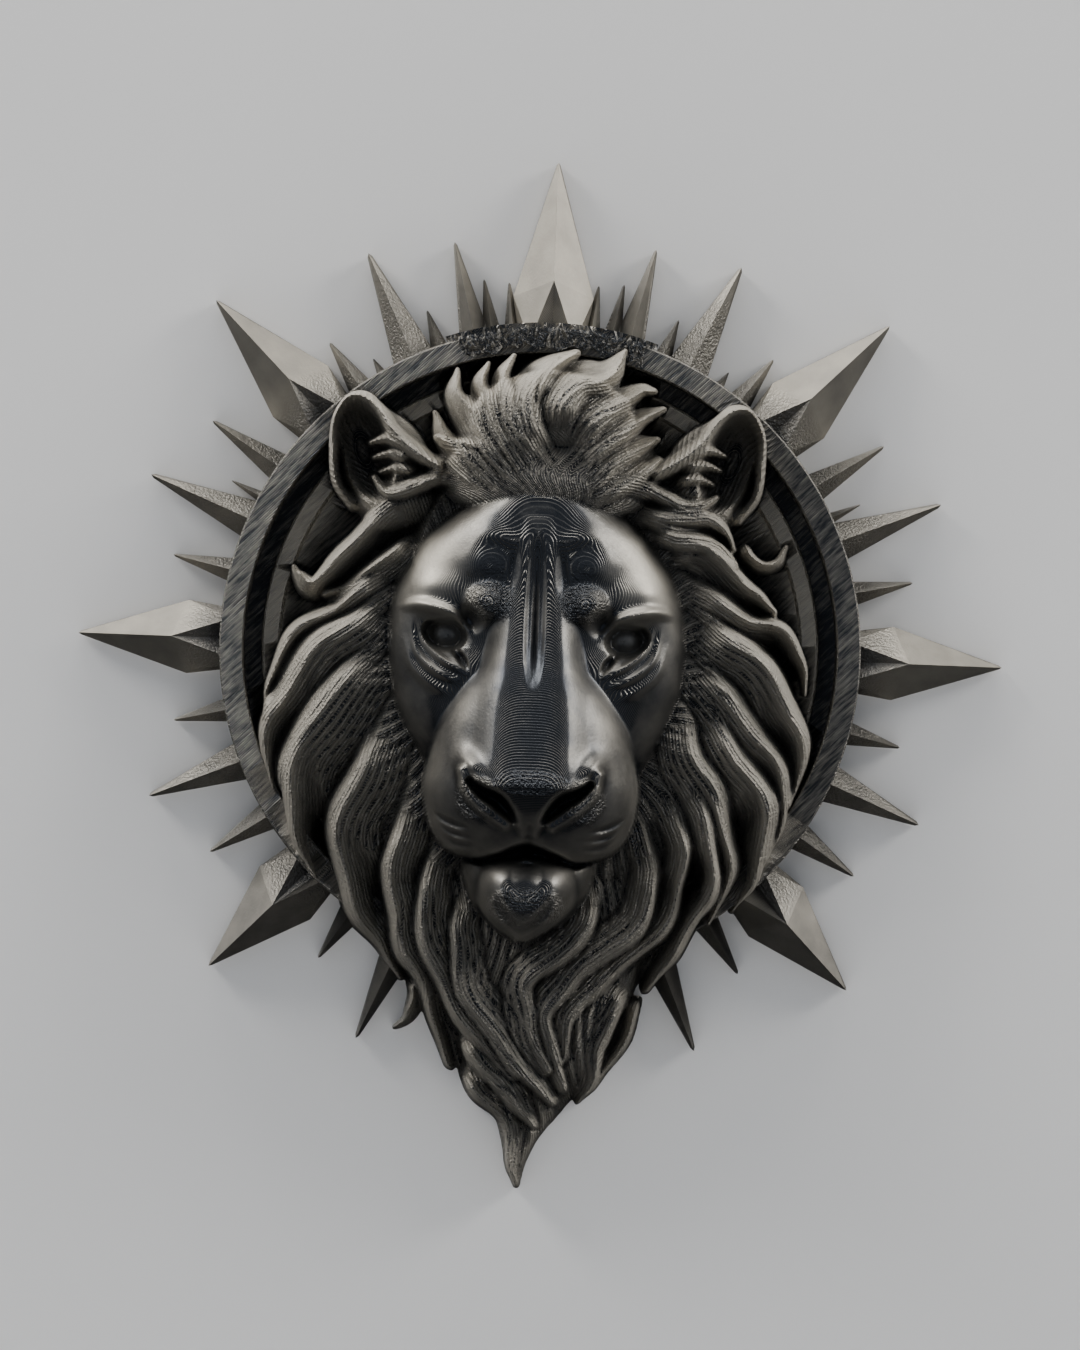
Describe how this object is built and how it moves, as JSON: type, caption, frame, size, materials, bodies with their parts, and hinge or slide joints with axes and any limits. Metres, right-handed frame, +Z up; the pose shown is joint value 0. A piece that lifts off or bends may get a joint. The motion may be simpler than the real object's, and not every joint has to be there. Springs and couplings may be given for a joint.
{
  "type": "lion head wall mask",
  "caption": "Wall plaque with a lion's head in high relief, set in a round ring with crystal-shaped rays all round and a beard that hangs below it.",
  "frame": {"origin": "middle of the disc on the flat back, where the plaque is fixed to the wall", "axes": "+Z up; the lion faces -Y; the wall is the plane y = 0, with +Y into it"},
  "size_m": [0.2164, 0.0614, 0.2403],
  "materials": {
    "dark_silver_print": "printed plastic in dark gunmetal, rubbed with warm silver on what stands proud, satin"
  },
  "bodies": {
    "root": {"lion_head_wall_mask": "dark_silver_print"}
  },
  "joints": []
}
